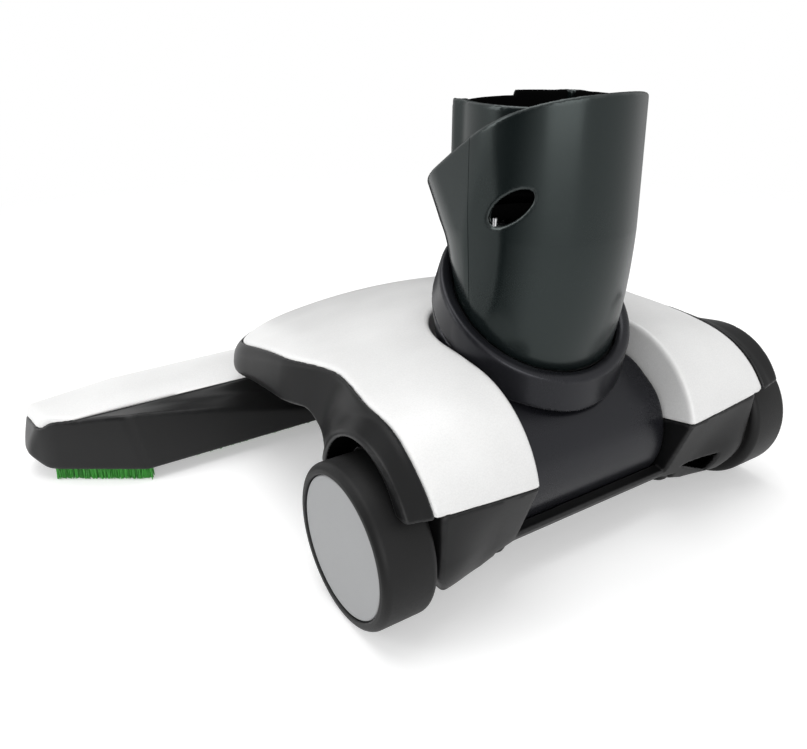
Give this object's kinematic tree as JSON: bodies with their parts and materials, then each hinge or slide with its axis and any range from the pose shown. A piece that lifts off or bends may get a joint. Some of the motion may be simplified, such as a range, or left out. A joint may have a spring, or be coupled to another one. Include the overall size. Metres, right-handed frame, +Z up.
{
  "type": "vacuum floor brush head",
  "caption": "Floor brush head for a vacuum cleaner, with a pale hood, a wide nozzle bar, rear wheels and a neck that tilts and swivels.",
  "frame": {"origin": "middle of the footprint on the floor, below the hood", "axes": "+X to the right along the nozzle bar, +Y forward from the wheels to the bar, +Z up from the floor"},
  "size_m": [0.3132, 0.1892, 0.1502],
  "materials": {
    "pale_shell": "smooth white, soft gloss",
    "dark_shell": "fine satin grain, charcoal",
    "dark_joint": "fine satin grain, charcoal",
    "dark_neck": "satin charcoal with a cool sheen",
    "sole": "smooth, lightly scuffed",
    "bristle": "green nylon filaments",
    "tread": "matt soft tread",
    "wheel_core": "moulded",
    "hub_grey": "pale grey satin",
    "steel": "bright",
    "bush": "natural, waxy",
    "seal": "matt"
  },
  "bodies": {
    "base": {"top_cover": "pale_shell", "upper_housing": "dark_shell", "rear_housing": "dark_shell", "suction_duct": "dark_shell", "nozzle_housing": "dark_shell", "nozzle_cover": "pale_shell", "sole_plate": "sole", "rear_bristle_strip": "bristle", "left_bristle_strip": "bristle", "right_bristle_strip": "bristle", "left_axle_pin": "steel", "right_axle_pin": "steel", "left_trunnion_bush": "bush", "right_trunnion_bush": "bush", "housing_screws": "steel", "sole_screws": "steel"},
    "left_wheel": {"left_tyre": "tread", "left_rim": "wheel_core", "left_hub_cap": "hub_grey"},
    "right_wheel": {"right_tyre": "tread", "right_rim": "wheel_core", "right_hub_cap": "hub_grey"},
    "tilt": {"tilt_barrel": "dark_joint", "swivel_collar": "dark_joint"},
    "neck": {"neck_rear_shell": "dark_neck", "neck_front_shell": "dark_neck", "socket_tube": "dark_neck", "swivel_base": "dark_joint", "swivel_seal": "seal", "left_latch_pin": "steel", "right_latch_pin": "steel"}
  },
  "joints": [
    {"name": "left_wheel_spin", "type": "hinge", "parent": "base", "child": "left_wheel", "pos_m": [-0.0812, -0.0684, 0.0262], "axis": [1, 0, 0], "continuous": true},
    {"name": "right_wheel_spin", "type": "hinge", "parent": "base", "child": "right_wheel", "pos_m": [0.0812, -0.0684, 0.0262], "axis": [1, 0, 0], "continuous": true},
    {"name": "neck_tilt", "type": "hinge", "parent": "base", "child": "tilt", "pos_m": [0, -0.0576, 0.0321], "axis": [1, 0, 0], "range_deg": [0, 65]},
    {"name": "neck_swivel", "type": "hinge", "parent": "tilt", "child": "neck", "pos_m": [0, -0.0487, 0.0823], "axis": [0, -0.5563, 0.831], "range_deg": [-85, 85]}
  ]
}
